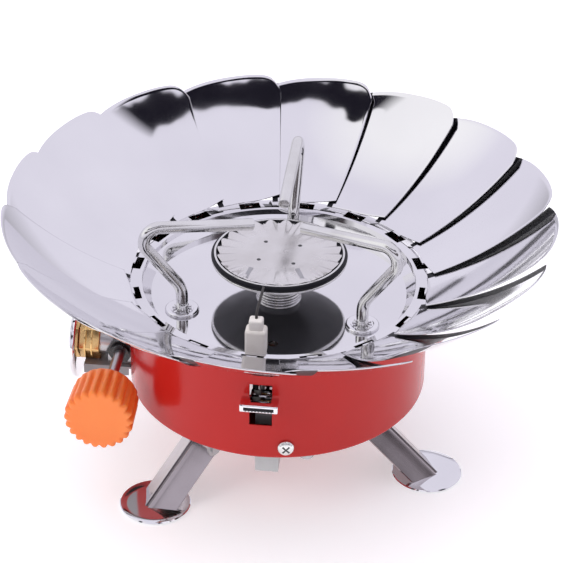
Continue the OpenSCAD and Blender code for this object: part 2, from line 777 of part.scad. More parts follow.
module petal_sheet() {
    rows = 8;
    cols = 9;
    n = (rows + 1) * (cols + 1);
    // A sloping sheet is a little thicker when measured straight up
    half = petal_t * 0.575;
    points = [for (drop = [half, -half], i = [0:rows], j = [0:cols])
        petal_point(i, j, rows, cols, drop)];
    // Number of the grid point i, j on the upper side (s = 0) or lower side (s = 1)
    at = function (s, i, j) s * n + i * (cols + 1) + j;
    skins = [for (i = [0:rows - 1], j = [0:cols - 1]) each [
        [at(0, i, j), at(0, i + 1, j + 1), at(0, i, j + 1)],
        [at(0, i, j), at(0, i + 1, j), at(0, i + 1, j + 1)],
        [at(1, i, j), at(1, i, j + 1), at(1, i + 1, j + 1)],
        [at(1, i, j), at(1, i + 1, j + 1), at(1, i + 1, j)]]];
    side_edges = [for (i = [0:rows - 1]) each [
        [at(0, i, 0), at(1, i + 1, 0), at(0, i + 1, 0)],
        [at(0, i, 0), at(1, i, 0), at(1, i + 1, 0)],
        [at(0, i, cols), at(0, i + 1, cols), at(1, i + 1, cols)],
        [at(0, i, cols), at(1, i + 1, cols), at(1, i, cols)]]];
    end_edges = [for (j = [0:cols - 1]) each [
        [at(0, 0, j), at(0, 0, j + 1), at(1, 0, j + 1)],
        [at(0, 0, j), at(1, 0, j + 1), at(1, 0, j)],
        [at(0, rows, j), at(1, rows, j + 1), at(0, rows, j + 1)],
        [at(0, rows, j), at(1, rows, j), at(1, rows, j + 1)]]];
    polyhedron(points, concat(skins, side_edges, end_edges));
}

// Degrees that a petal hangs below the bowl when open: the loose front ones hang the lowest
function hang(i) = max(0, min(hang_left * (petal_count - 3 - i), hang_right * (i - 4.6)));

// A petal with the tab that hooks into its slot, turned down about its skewed hinge
module petal(i) {
    color([0.86, 0.86, 0.9]) rotate([0, 0, first_petal - i * pitch]) translate([hinge_r, 0, hinge_z])
        rotate(a = -hang(i), v = [0, -cos(hinge_skew), -sin(hinge_skew)])
        translate([-hinge_r, 0, -hinge_z]) {
            petal_sheet();
            translate([hinge_r - 0.3, -tab_w / 2, hinge_z - tab_drop])
                cube([0.6, tab_w, tab_drop + 0.3]);
            translate([hinge_r - 0.3, -tab_w / 2, hinge_z]) cube([1.5, tab_w, 0.6]);
        }
}

module petal_01() { petal(0); }
module petal_02() { petal(1); }
module petal_03() { petal(2); }
module petal_04() { petal(3); }
module petal_05() { petal(4); }
module petal_06() { petal(5); }
module petal_07() { petal(6); }
module petal_08() { petal(7); }
module petal_09() { petal(8); }
module petal_10() { petal(9); }
module petal_11() { petal(10); }
module petal_12() { petal(11); }
module petal_13() { petal(12); }
module petal_14() { petal(13); }
module petal_15() { petal(14); }
module petal_16() { petal(15); }

housing();
base_plate();
housing_screws();
pan();
mixing_tube();
tube_nut();
burner_collar();
burner_cup();
burner_ring();
burner_cap();
jet_block();
jet_nozzle();
gas_pipe();
electrode_ceramic();
electrode_wire();
ignition_lead();
igniter_body();
igniter_plunger();
igniter_spring();
igniter_lever();
igniter_bracket();
igniter_screw();
valve_body();
packing_nut();
coupling_nut();
connector_disc();
connector_seal();
canister_pin();
valve_stem();
stem_clip();
knob();
support_bushes();
leg_brackets();
leg_pins();
leg_rivets();
pot_support_1();
pot_support_2();
pot_support_3();
leg_1();
leg_2();
leg_3();
petal_01();
petal_02();
petal_03();
petal_04();
petal_05();
petal_06();
petal_07();
petal_08();
petal_09();
petal_10();
petal_11();
petal_12();
petal_13();
petal_14();
petal_15();
petal_16();
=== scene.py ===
"""Looks of the folding camping stove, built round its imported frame. Sizes are in millimetres."""

import json
from math import atan2, ceil, cos, degrees, hypot, pi, radians, sin, sqrt, tan

import bmesh
import bpy
from mathutils import Matrix, Vector


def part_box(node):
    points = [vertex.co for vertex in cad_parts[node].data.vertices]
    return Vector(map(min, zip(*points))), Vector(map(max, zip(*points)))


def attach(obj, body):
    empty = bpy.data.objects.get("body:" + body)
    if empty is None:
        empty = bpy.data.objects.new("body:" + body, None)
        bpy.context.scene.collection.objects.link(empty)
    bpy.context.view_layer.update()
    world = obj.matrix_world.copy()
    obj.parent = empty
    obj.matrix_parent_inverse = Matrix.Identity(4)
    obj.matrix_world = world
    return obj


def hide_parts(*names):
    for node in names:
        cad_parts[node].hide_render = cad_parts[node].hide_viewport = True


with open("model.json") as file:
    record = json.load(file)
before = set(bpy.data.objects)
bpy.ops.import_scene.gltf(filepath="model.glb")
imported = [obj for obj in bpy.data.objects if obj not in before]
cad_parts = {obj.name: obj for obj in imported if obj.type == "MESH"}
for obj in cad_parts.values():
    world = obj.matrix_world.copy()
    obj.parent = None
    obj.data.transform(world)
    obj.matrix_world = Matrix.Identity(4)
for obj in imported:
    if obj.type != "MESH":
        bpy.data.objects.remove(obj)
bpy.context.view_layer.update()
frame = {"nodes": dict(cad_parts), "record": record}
MM = 0.001

# ---------------------------------------------------------------- sizes

HINGE_R = 53.8
HINGE_Z = 74.35
FIRST_PETAL = 108.7
PETALS = 16
PETAL_T = 0.4
FLOOR_Z = 68.5
HEAD_TOP = 86.0
RIM_R = 24.8
CAP_R = 22.7
TUBE_R = 6.1
ROD_R = 2.2
POST_R = 37.7
SUPPORT_AZ = (208.5, 328.5, 88.5)
LEG_AZ = (108, 228, 348)
PIN_R = 39.0
PIN_Z = 20.8


def box_mm(node):
    """Lowest and highest corner of a CAD node, in millimetres."""
    low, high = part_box(node)
    return Vector(low) / MM, Vector(high) / MM


# ---------------------------------------------------------------- mesh helpers


def new_object(name, bm, material, smooth_angle=35):
    """Turns a bmesh that is drawn in millimetres into an object in metres."""
    bmesh.ops.scale(bm, vec=(MM,) * 3, verts=bm.verts)
    mesh = bpy.data.meshes.new(name)
    bm.to_mesh(mesh)
    bm.free()
    mesh.shade_smooth()
    mesh.set_sharp_from_angle(angle=radians(smooth_angle))
    obj = bpy.data.objects.new(name, mesh)
    bpy.context.scene.collection.objects.link(obj)
    if material:
        mesh.materials.append(material)
    return obj


def turn_z(angle):
    return Matrix.Rotation(radians(angle), 4, "Z")


def move(x, y, z):
    return Matrix.Translation((x, y, z))


def lathe(bm, outline, steps=96, matrix=None, closed=True):
    """Spins an outline of (radius, height) points about Z; returns the new vertices."""
    before = set(bm.verts)
    verts = [bm.verts.new((r, 0, z)) for r, z in outline]
    pairs = list(zip(verts, verts[1:] + verts[:1])) if closed else list(zip(verts, verts[1:]))
    edges = [bm.edges.new(pair) for pair in pairs]
    bmesh.ops.spin(
        bm, geom=verts + edges, cent=(0, 0, 0), axis=(0, 0, 1), angle=2 * pi, steps=steps, use_merge=True
    )
    fresh = [v for v in bm.verts if v not in before]
    bmesh.ops.remove_doubles(bm, verts=fresh, dist=1e-4)
    fresh = [v for v in bm.verts if v not in before]
    faces = list({f for v in fresh for f in v.link_faces})
    bmesh.ops.recalc_face_normals(bm, faces=faces)
    if matrix:
        bmesh.ops.transform(bm, matrix=matrix, verts=fresh)
    return fresh


def round_off(points, radius, steps=3, closed=True):
    """Rounds the corners of an outline with arcs of about the given radius."""
    out = []
    count = len(points)
    for i, point in enumerate(points):
        here = Vector(point)
        if not closed and i in (0, count - 1):
            out.append(tuple(here))
            continue
        before, after = Vector(points[i - 1]), Vector(points[(i + 1) % count])
        a, b = before - here, after - here
        reach = min(radius, a.length * 0.45, b.length * 0.45)
        if here.x < 1e-6 or a.angle(b) > radians(172) or reach < 1e-3:
            out.append(tuple(here))
            continue
        start, end = here + a.normalized() * reach, here + b.normalized() * reach
        for k in range(steps + 1):
            t = k / steps
            out.append(tuple(start * (1 - t) ** 2 + here * 2 * t * (1 - t) + end * t * t))
    return out


def block(bm, low, high, edge=0.2, segments=3, matrix=None):
    """A box between two corners with rounded edges; returns its vertices."""
    before = set(bm.verts)
    low, high = Vector(low), Vector(high)
    cube = bmesh.ops.create_cube(bm, size=1)["verts"]
    size = high - low
    bmesh.ops.transform(
        bm, matrix=Matrix.Translation((low + high) / 2) @ Matrix.Diagonal((*size, 1)), verts=cube
    )
    if edge:
        bmesh.ops.bevel(
            bm, geom=list({e for v in cube for e in v.link_edges}), offset=edge, segments=segments,
            profile=0.5, affect="EDGES", material=-1, clamp_overlap=True,
        )
    fresh = [v for v in bm.verts if v not in before]
    if matrix:
        bmesh.ops.transform(bm, matrix=matrix, verts=fresh)
    return fresh


def tube_along(name, points, radius, material, sides=20, tip=0.0):
    """A round rod along a list of points in millimetres, with rounded ends."""
    bm = bmesh.new()
    points = [Vector(p) for p in points]
    first = (points[1] - points[0]).normalized()
    last = (points[-1] - points[-2]).normalized()
    rings = []
    if tip:
        for t in (0.0, 0.35, 0.7):
            shrink = tip * (1 - sqrt(1 - (1 - t) ** 2))
            rings.append((points[0] + first * tip * t, radius - shrink))
        rings += [(p, radius) for p in points[1:-1]]
        for t in (0.7, 0.35, 0.0):
            shrink = tip * (1 - sqrt(1 - (1 - t) ** 2))
            rings.append((points[-1] - last * tip * t, radius - shrink))
    else:
        rings = [(p, radius) for p in points]
    side = Vector((0, 0, 1)).cross(first)
    if side.length < 1e-3:
        side = Vector((1, 0, 0))
    side.normalize()
    loops = []
    for i, (centre, r) in enumerate(rings):
        ahead = rings[min(i + 1, len(rings) - 1)][0] - rings[max(i - 1, 0)][0]
        ahead.normalize()
        side = (side - ahead * side.dot(ahead)).normalized()
        turned = Matrix((side, ahead.cross(side), ahead)).transposed().to_4x4()
        ring = bmesh.ops.create_circle(bm, cap_ends=i in (0, len(rings) - 1), segments=sides, radius=r)
        bmesh.ops.transform(bm, matrix=Matrix.Translation(centre) @ turned, verts=ring["verts"])
        loops.append(list({e for v in ring["verts"] for e in v.link_edges}))
    for low, high in zip(loops, loops[1:]):
        bmesh.ops.bridge_loops(bm, edges=low + high)
    bmesh.ops.recalc_face_normals(bm, faces=bm.faces)
    return new_object(name, bm, material)


def bend_path(corners, radii):
    """Points along straight runs joined by arcs; each inner corner has its bend radius."""
    corners = [Vector(c) for c in corners]
    out = [corners[0]]
    for before, here, after, radius in zip(corners, corners[1:], corners[2:], radii):
        a, b = (here - before).normalized(), (after - here).normalized()
        sweep = a.angle(b)
        start = here - a * radius * tan(sweep / 2)
        inward = (b - a * a.dot(b)).normalized()
        steps = ceil(degrees(sweep) / 6)
        for k in range(steps + 1):
            t = sweep * k / steps
            out.append(start + inward * radius * (1 - cos(t)) + a * radius * sin(t))
    return out + [corners[-1]]


# ---------------------------------------------------------------- materials


def group(name, inputs, outputs):
    """An empty shader node group with named float or vector sockets."""
    tree = bpy.data.node_groups.new(name, "ShaderNodeTree")
    for label, kind, value in inputs:
        socket = tree.interface.new_socket(label, in_out="INPUT", socket_type=kind)
        if value is not None:
            socket.default_value = value
    for label, kind in outputs:
        tree.interface.new_socket(label, in_out="OUTPUT", socket_type=kind)
    return tree, tree.nodes.new("NodeGroupInput"), tree.nodes.new("NodeGroupOutput")


def noise(tree, scale, detail=2.0, stretch=None):
    """A noise texture on object coordinates."""
    where = tree.nodes.new("ShaderNodeTexCoord")
    texture = tree.nodes.new("ShaderNodeTexNoise")
    texture.inputs["Detail"].default_value = detail
    source = where.outputs["Object"]
    if stretch:
        mapping = tree.nodes.new("ShaderNodeMapping")
        mapping.inputs["Scale"].default_value = stretch
        tree.links.new(source, mapping.inputs["Vector"])
        source = mapping.outputs["Vector"]
    tree.links.new(source, texture.inputs["Vector"])
    if isinstance(scale, bpy.types.NodeSocket):
        tree.links.new(scale, texture.inputs["Scale"])
    else:
        texture.inputs["Scale"].default_value = scale
    return texture.outputs["Fac"]


def spread(tree, value, low, high, start=0.3, stop=0.7):
    """Maps a noise value onto the range low to high."""
    node = tree.nodes.new("ShaderNodeMapRange")
    tree.links.new(value, node.inputs["Value"])
    for label, what in (("From Min", start), ("From Max", stop), ("To Min", low), ("To Max", high)):
        if isinstance(what, bpy.types.NodeSocket):
            tree.links.new(what, node.inputs[label])
        else:
            node.inputs[label].default_value = what
    return node.outputs["Result"]


def smudge_group():
    """Roughness that wanders between two values, as handling and polishing leave it."""
    tree, start, end = group(
        "Smudges",
        [("Scale", "NodeSocketFloat", 60.0), ("Low", "NodeSocketFloat", 0.1),
         ("High", "NodeSocketFloat", 0.2)],
        [("Roughness", "NodeSocketFloat")],
    )
    wide = noise(tree, start.outputs["Scale"], 3.0)
    tree.links.new(
        spread(tree, wide, start.outputs["Low"], start.outputs["High"]), end.inputs["Roughness"]
    )
    return tree


def ripple_group():
    """Height of a sheet's faint waves with fine polishing lines on top."""
    tree, start, end = group(
        "Ripple", [("Waves", "NodeSocketFloat", 25.0), ("Lines", "NodeSocketFloat", 0.1)],
        [("Height", "NodeSocketFloat")],
    )
    waves = noise(tree, start.outputs["Waves"], 1.0)
    lines = noise(tree, 900.0, 2.0, stretch=(1.0, 0.08, 1.0))
    add = tree.nodes.new("ShaderNodeMath")
    add.operation = "MULTIPLY_ADD"
    tree.links.new(lines, add.inputs[0])
    tree.links.new(start.outputs["Lines"], add.inputs[1])
    tree.links.new(waves, add.inputs[2])
    tree.links.new(add.outputs[0], end.inputs["Height"])
    return tree


def tint_group():
    """A base colour that shifts a little towards a second one in soft patches and fine specks."""
    tree, start, end = group(
        "Tint",
        [("Colour", "NodeSocketColor", None), ("Patch", "NodeSocketColor", None),
         ("Scale", "NodeSocketFloat", 40.0), ("Amount", "NodeSocketFloat", 0.3)],
        [("Colour", "NodeSocketColor")],
    )
    patch = spread(tree, noise(tree, start.outputs["Scale"], 4.0), 0.0, start.outputs["Amount"])
    mix = tree.nodes.new("ShaderNodeMix")
    mix.data_type = "RGBA"
    tree.links.new(patch, mix.inputs["Factor"])
    tree.links.new(start.outputs["Colour"], mix.inputs[6])
    tree.links.new(start.outputs["Patch"], mix.inputs[7])
    tree.links.new(mix.outputs[2], end.inputs["Colour"])
    return tree


SMUDGES, RIPPLE, TINT = smudge_group(), ripple_group(), tint_group()


def place_group(tree, source, **values):
    node = tree.nodes.new("ShaderNodeGroup")
    node.node_tree = source
    for label, value in values.items():
        node.inputs[label].default_value = value
    return node


def finish(
    name, colour, patch, amount, rough, scale=40.0, metal=0.0, waves=25.0, lines=0.1, bump=0.0, **extra
):
    """A Principled material with tinted colour, wandering roughness and a rippled surface."""
    material = bpy.data.materials.new(name)
    material.use_nodes = True
    tree = material.node_tree
    shader = tree.nodes["Principled BSDF"]
    tint = place_group(tree, TINT, Colour=(*colour, 1), Patch=(*patch, 1), Scale=scale, Amount=amount)
    tree.links.new(tint.outputs["Colour"], shader.inputs["Base Color"])
    smudges = place_group(tree, SMUDGES, Scale=scale * 1.7, Low=rough[0], High=rough[1])
    tree.links.new(smudges.outputs["Roughness"], shader.inputs["Roughness"])
    shader.inputs["Metallic"].default_value = metal
    if bump:
        ripple = place_group(tree, RIPPLE, Waves=waves, Lines=lines)
        height = tree.nodes.new("ShaderNodeBump")
        height.inputs["Strength"].default_value = 1.0
        height.inputs["Distance"].default_value = bump * MM
        tree.links.new(ripple.outputs["Height"], height.inputs["Height"])
        tree.links.new(height.outputs["Normal"], shader.inputs["Normal"])
    for label, value in extra.items():
        shader.inputs[label.replace("_", " ")].default_value = value
    return material


def mirror_steel():
    return finish(
        "mirror_steel", (0.86, 0.855, 0.87), (0.74, 0.73, 0.76), 0.5, (0.035, 0.09), 22.0, 1.0,
        waves=38.0, lines=0.004, bump=0.12,
    )


# Near-black and dull: painted shade for the covered petal strips, the ring under the burner cap, the
# lever's grip and the igniter spring
def painted_shade_steel():
    return finish(
        "painted_shade_steel", (0.006, 0.006, 0.009), (0.012, 0.012, 0.016), 0.5, (0.3, 0.42), 60.0, 0.0,
        waves=120.0, lines=0.2, bump=0.02, Specular_IOR_Level=0.2,
    )


def pan_steel():
    return finish(
        "pan_steel", (0.84, 0.835, 0.85), (0.72, 0.71, 0.74), 0.5, (0.03, 0.08), 18.0, 1.0,
        waves=20.0, lines=0.004, bump=0.08,
    )


def rod_steel():
    return finish(
        "rod_steel", (0.82, 0.82, 0.81), (0.62, 0.61, 0.58), 0.5, (0.1, 0.2), 90.0, 1.0,
        waves=260.0, lines=0.3, bump=0.02,
    )


def plain_steel():
    return finish(
        "plain_steel", (0.55, 0.55, 0.56), (0.38, 0.38, 0.39), 0.6, (0.25, 0.42), 60.0, 1.0,
        waves=300.0, lines=0.6, bump=0.03,
    )


def burner_steel():
    return finish(
        "burner_steel", (0.8, 0.79, 0.78), (0.62, 0.6, 0.58), 0.6, (0.16, 0.3), 70.0, 1.0,
        waves=150.0, lines=0.2, bump=0.05,
    )


# Dull dark grey in place of the steel cone's reflection: a painted reflection
def cone_steel():
    return finish(
        "cone_steel", (0.075, 0.075, 0.08), (0.05, 0.05, 0.055), 0.7, (0.3, 0.45), 80.0, 0.0,
        waves=200.0, lines=0.3, bump=0.03,
    )


# Darker, brownish steel for the leg strips: painted reflection of the red shell, darkened as painted shade
def leg_steel():
    return finish(
        "leg_steel", (0.5, 0.455, 0.46), (0.36, 0.32, 0.325), 0.6, (0.1, 0.2), 30.0, 1.0,
        waves=90.0, lines=0.05, bump=0.05,
    )


def red_plate():
    """Red underside of the shell, with a bare ear for the valve."""
    material = finish(
        "red_plate", (0.42, 0.02, 0.018), (0.3, 0.012, 0.012), 0.5, (0.25, 0.4), 40.0, 0.0,
        waves=300.0, lines=0.1, bump=0.02,
    )
    tree = material.node_tree
    recolour(tree, beyond_radius(tree, 51.0 * MM), (0.3, 0.3, 0.31))
    return material


# Near-black: painted shade in the burner's ports and in the screw's cross recess
def black_steel():
    return finish(
        "black_steel", (0.012, 0.012, 0.014), (0.03, 0.03, 0.032), 0.6, (0.18, 0.34), 120.0, 0.0,
        waves=400.0, lines=0.4, bump=0.03, Coat_Weight=0.4,
    )


def brass():
    return finish(
        "brass", (0.83, 0.56, 0.24), (0.62, 0.38, 0.14), 0.6, (0.14, 0.28), 120.0, 1.0,
        waves=500.0, lines=0.5, bump=0.03,
    )


def copper():
    return finish("copper", (0.78, 0.4, 0.24), (0.5, 0.24, 0.14), 0.7, (0.2, 0.35), 90.0, 1.0, bump=0.02)


def beyond_radius(tree, radius):
    """One where the surface lies further than the radius from the burner's axis."""
    where = tree.nodes.new("ShaderNodeTexCoord")
    flat = tree.nodes.new("ShaderNodeVectorMath")
    flat.operation = "MULTIPLY"
    flat.inputs[1].default_value = (1, 1, 0)
    reach = tree.nodes.new("ShaderNodeVectorMath")
    reach.operation = "LENGTH"
    tree.links.new(where.outputs["Object"], flat.inputs[0])
    tree.links.new(flat.outputs[0], reach.inputs[0])
    beyond = tree.nodes.new("ShaderNodeMath")
    beyond.operation = "GREATER_THAN"
    tree.links.new(reach.outputs["Value"], beyond.inputs[0])
    if isinstance(radius, bpy.types.NodeSocket):
        tree.links.new(radius, beyond.inputs[1])
    else:
        beyond.inputs[1].default_value = radius
    return beyond.outputs[0]


def recolour(tree, mask, colour):
    """Mixes another base colour in where the mask is one."""
    shader = tree.nodes["Principled BSDF"]
    mix = tree.nodes.new("ShaderNodeMix")
    mix.data_type = "RGBA"
    tree.links.new(mask, mix.inputs["Factor"])
    tree.links.new(shader.inputs["Base Color"].links[0].from_socket, mix.inputs[6])
    mix.inputs[7].default_value = (*colour, 1)
    tree.links.new(mix.outputs[2], shader.inputs["Base Color"])


def red_enamel():
    """Red outside, and near-black painted shade on the inner side of the shell."""
    material = finish(
        "red_enamel", (0.5, 0.014, 0.011), (0.4, 0.009, 0.008), 0.4, (0.16, 0.26), 30.0, 0.0,
        waves=420.0, lines=0.05, bump=0.012, Specular_IOR_Level=0.3,
    )
    tree = material.node_tree
    axes = tree.nodes.new("ShaderNodeSeparateXYZ")
    where = tree.nodes.new("ShaderNodeTexCoord")
    tree.links.new(where.outputs["Object"], axes.inputs[0])
    wall = spread(tree, axes.outputs["Z"], 54.5 * MM, 56.2 * MM, 68.9 * MM, 71.0 * MM)
    outside = beyond_radius(tree, wall)
    inside = tree.nodes.new("ShaderNodeMath")
    inside.operation = "SUBTRACT"
    inside.inputs[0].default_value = 1.0
    tree.links.new(outside, inside.inputs[1])
    # Painted shade: near-black wherever the surface lies inside the wall
    recolour(tree, inside.outputs[0], (0.004, 0.003, 0.003))
    return material


def orange_plastic():
    return finish(
        "orange_plastic", (1.0, 0.26, 0.05), (0.9, 0.18, 0.03), 0.5, (0.3, 0.45), 45.0, 0.0,
        waves=900.0, lines=0.3, bump=0.02, Subsurface_Weight=0.15, Subsurface_Scale=0.004,
    )


def white_ceramic():
    return finish(
        "white_ceramic", (0.83, 0.79, 0.74), (0.7, 0.64, 0.58), 0.5, (0.28, 0.45), 200.0, 0.0,
        waves=700.0, lines=0.3, bump=0.04,
    )


def dark_wire():
    return finish(
        "dark_wire", (0.1, 0.095, 0.09), (0.05, 0.045, 0.04), 0.7, (0.3, 0.5), 300.0, 1.0, bump=0.02
    )


def grey_plastic():
    return finish(
        "grey_plastic", (0.55, 0.55, 0.54), (0.46, 0.46, 0.45), 0.5, (0.4, 0.55), 80.0, 0.0,
        waves=1200.0, lines=0.3, bump=0.03,
    )


def black_rubber():
    return finish(
        "black_rubber", (0.015, 0.015, 0.015), (0.03, 0.03, 0.03), 0.6, (0.5, 0.7), 200.0, 0.0,
        waves=900.0, lines=0.2, bump=0.03,
    )


MATERIALS = {
    "painted_shade_steel": painted_shade_steel(), "mirror_steel": mirror_steel(), "pan_steel": pan_steel(),
    "rod_steel": rod_steel(), "plain_steel": plain_steel(), "burner_steel": burner_steel(),
    "cone_steel": cone_steel(), "black_steel": black_steel(), "leg_steel": leg_steel(),
    "red_plate": red_plate(), "brass": brass(), "copper": copper(), "red_enamel": red_enamel(),
    "orange_plastic": orange_plastic(), "white_ceramic": white_ceramic(),
    "electrode_metal": dark_wire(), "grey_plastic": grey_plastic(), "black_rubber": black_rubber(),
}

# CAD nodes whose finish is not the one that their slot names
NODE_FINISH = {
    # The burner cup gets the painted dark reflection of the cone
    "pan": "pan_steel", "burner_cup": "cone_steel", "burner_cap": "burner_steel", "base_plate": "red_plate",
    # The igniter spring inside the shell gets painted shade
    "igniter_spring": "painted_shade_steel",
}


def dress_frame():
    """Gives every CAD node the finish of its slot, or its own."""
    slots = {part["node"]: part["material_slot"] for part in frame["record"]["subparts"]}
    for name, obj in frame["nodes"].items():
        finish_name = NODE_FINISH.get(name, slots[name])
        for i in range(len(obj.material_slots)):
            obj.material_slots[i].material = MATERIALS[finish_name]


# ---------------------------------------------------------------- windshield

SLOPE_IN = radians(21)
SLOPE_OUT = radians(50)
PETAL_LEN = 56
CURVE_R = PETAL_LEN / (SLOPE_OUT - SLOPE_IN)
# Degrees that a petal spans on each side of its hinge
PETAL_CW = 12.4
PETAL_CCW = 13.0
PETAL_LIFT = 0.35
PETAL_TILT = tan(radians(2.6))
PETAL_TWIST = 0.04 / 45.5
HINGE_SKEW = radians(16)
REACH = CURVE_R * (sin(SLOPE_OUT) - sin(SLOPE_IN))
# Shortfall that keeps the rounded tips inside the sheet's nominal outline
TIP_INSET = 0.35
# Share of a petal's width that its neighbour covers and that gets painted shade, more where the petals
# stand apart
COVERED = 0.1
COVERED_APART = 0.16
APART_PETALS = (5, 6, 7)


def bowl(q):
    """Rise of the sheet at a distance q out from the hinge."""
    return CURVE_R * (cos(SLOPE_IN) - sqrt(1 - (sin(SLOPE_IN) + q / CURVE_R) ** 2))


def petal_point(along, across):
    """A point of the petal's middle sheet; along runs out from the hinge, across runs clockwise."""
    a = -PETAL_CCW + (PETAL_CW + PETAL_CCW) * across
    share = a / PETAL_CW
    base = 0.4 + 2.2 * max(0, (share - 0.15) / 0.85) ** 1.5
    tip = REACH - TIP_INSET - 1.6 * abs(share) ** 2.6 - 3.4 * max(0, (share - 0.62) / 0.38) ** 3
    q = base + (tip - base) * along
    radius = HINGE_R + q
    w = radius * sin(radians(a))
    z = HINGE_Z + bowl(q) + PETAL_LIFT + w * PETAL_TILT + PETAL_TWIST * w * q
    return Vector((radius * cos(radians(a)), -w, z))


def shade_overlap(bm, hidden):
    """Gives painted shade, near-black and dull, to the strips where one petal lies over the next."""
    for f in hidden:
        f.material_index = 1
    for f in bm.faces:
        centre = f.calc_center_median()
        angle = degrees(atan2(-centre.y, centre.x))
        if f.normal.z < -0.1 and angle > PETAL_CW - 6:
            f.material_index = 1


def hang(index):
    """Degrees that an open petal hangs below the bowl; the loose front ones hang lowest."""
    return max(0, min(1.25 * (PETALS - 3 - index), 1.8 * (index - 4.6)))


def petal(index):
    """One polished petal with softly rounded edges and the tab that hooks into its slot."""
    bm = bmesh.new()
    bmesh.ops.create_grid(bm, x_segments=36, y_segments=34, size=0.5)
    strip = COVERED_APART if index in APART_PETALS else COVERED
    hidden = [f for f in bm.faces if f.calc_center_median().y + 0.5 < strip]
    for v in bm.verts:
        v.co = petal_point(v.co.x + 0.5, v.co.y + 0.5)
    bmesh.ops.recalc_face_normals(bm, faces=bm.faces)
    if sum(f.normal.z for f in bm.faces) < 0:
        bmesh.ops.reverse_faces(bm, faces=bm.faces)
    bmesh.ops.solidify(bm, geom=list(bm.faces), thickness=PETAL_T)
    bmesh.ops.translate(bm, vec=(0, 0, PETAL_T / 2), verts=bm.verts)
    shade_overlap(bm, hidden)
    rims = [e for e in bm.edges if e.is_manifold and e.calc_face_angle(0) > radians(50)]
    bmesh.ops.bevel(
        bm, geom=rims, offset=0.12, segments=2, profile=0.5, affect="EDGES", material=-1, clamp_overlap=True
    )
    half_tab = 2
    block(bm, (HINGE_R - 0.3, -half_tab, HINGE_Z - 1.2), (HINGE_R + 0.3, half_tab, HINGE_Z + 0.3), 0.12)
    block(bm, (HINGE_R - 0.3, -half_tab, HINGE_Z + 0.02), (HINGE_R + 1.2, half_tab, HINGE_Z + 0.6), 0.12)
    azimuth = FIRST_PETAL - index * 360 / PETALS
    hinge = Vector((0, -cos(HINGE_SKEW), -sin(HINGE_SKEW)))
    open_down = move(HINGE_R, 0, HINGE_Z) @ Matrix.Rotation(-radians(hang(index)), 4, hinge)
    place = turn_z(azimuth) @ open_down @ move(-HINGE_R, 0, -HINGE_Z)
    bmesh.ops.transform(bm, matrix=place, verts=bm.verts)
    name = f"petal_{index + 1:02d}"
    obj = new_object(name + "_sheet", bm, MATERIALS["mirror_steel"])
    # Second material: painted shade on the covered strips
    obj.data.materials.append(MATERIALS["painted_shade_steel"])
    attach(obj, name)
    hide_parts(name)


def windshield():
    for index in range(PETALS):
        petal(index)


# ---------------------------------------------------------------- burner


def burner_cap():
    """Dished cap: a flat centre with ports, and flutes that deepen towards the rim."""
    flutes = 24
    flat_r = 11.4
    flute_rise, flute_sink, rim_scallop = 0.95, 0.45, 0.9
    bm = bmesh.new()
    outline = [(0.0, -1.15)] + [(r, -1.15) for r in (3, 6, 8, 9, 10, 10.8)]
    outline += [(flat_r + (CAP_R - flat_r) * t / 12, -1.0) for t in range(13)]
    verts = lathe(bm, outline, steps=288, closed=False)
    for v in verts:
        r, a = hypot(v.co.x, v.co.y), atan2(v.co.y, v.co.x)
        out = max(0.0, (r - flat_r) / (CAP_R - flat_r))
        crest = 0.5 + 0.5 * cos(a * flutes)
        v.co.z = -1.2 + 0.1 * min(1, out * 6) + (flute_rise * crest ** 0.8 - flute_sink) * out ** 1.6
        if out > 0.95:
            v.co.z -= 0.12
            inset = 1 - rim_scallop * (1 - crest) / r
            v.co.x, v.co.y = v.co.x * inset, v.co.y * inset
    bmesh.ops.translate(bm, vec=(0, 0, HEAD_TOP - 0.28), verts=bm.verts)
    if sum(f.normal.z for f in bm.faces) < 0:
        bmesh.ops.reverse_faces(bm, faces=bm.faces)
    bmesh.ops.solidify(bm, geom=list(bm.faces), thickness=0.35)
    obj = new_object("burner_cap_fluted", bm, MATERIALS["burner_steel"], 60)
    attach(obj, "root")
    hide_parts("burner_cap")
    # Ports in the middle, near-black discs painted as the shade inside the holes, then the two slots, then
    # the bright lip round the rim
    bm = bmesh.new()
    for a in (40, 130, 220, 310):
        at = turn_z(a) @ move(9, 0, HEAD_TOP - 1.5)
        lathe(bm, [(0, -0.3), (0.75, -0.3), (0.75, 0.06), (0, 0.06)], 24, at, closed=False)
    dark = new_object("burner_ports", bm, MATERIALS["black_steel"])
    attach(dark, "root")
    bm = bmesh.new()
    for x, y, a in ((-9.4, -15.6, 261), (8.9, -13.9, 291)):
        at = move(x, y, HEAD_TOP - 1.4) @ turn_z(a)
        block(bm, (-3.6, -0.8, -0.4), (3.6, 0.8, 0.32), 0.1, 2, at)
    slots = new_object("burner_slots", bm, MATERIALS["plain_steel"])
    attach(slots, "root")
    bm = bmesh.new()
    lip = [(22.95, -1.5), (23.7, -1.5), (23.8, -1.15), (23.4, -0.95), (23.0, -1.1)]
    lathe(bm, round_off(lip, 0.12), 144, move(0, 0, HEAD_TOP))
    lip_ring = new_object("burner_lip", bm, MATERIALS["rod_steel"])
    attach(lip_ring, "root")


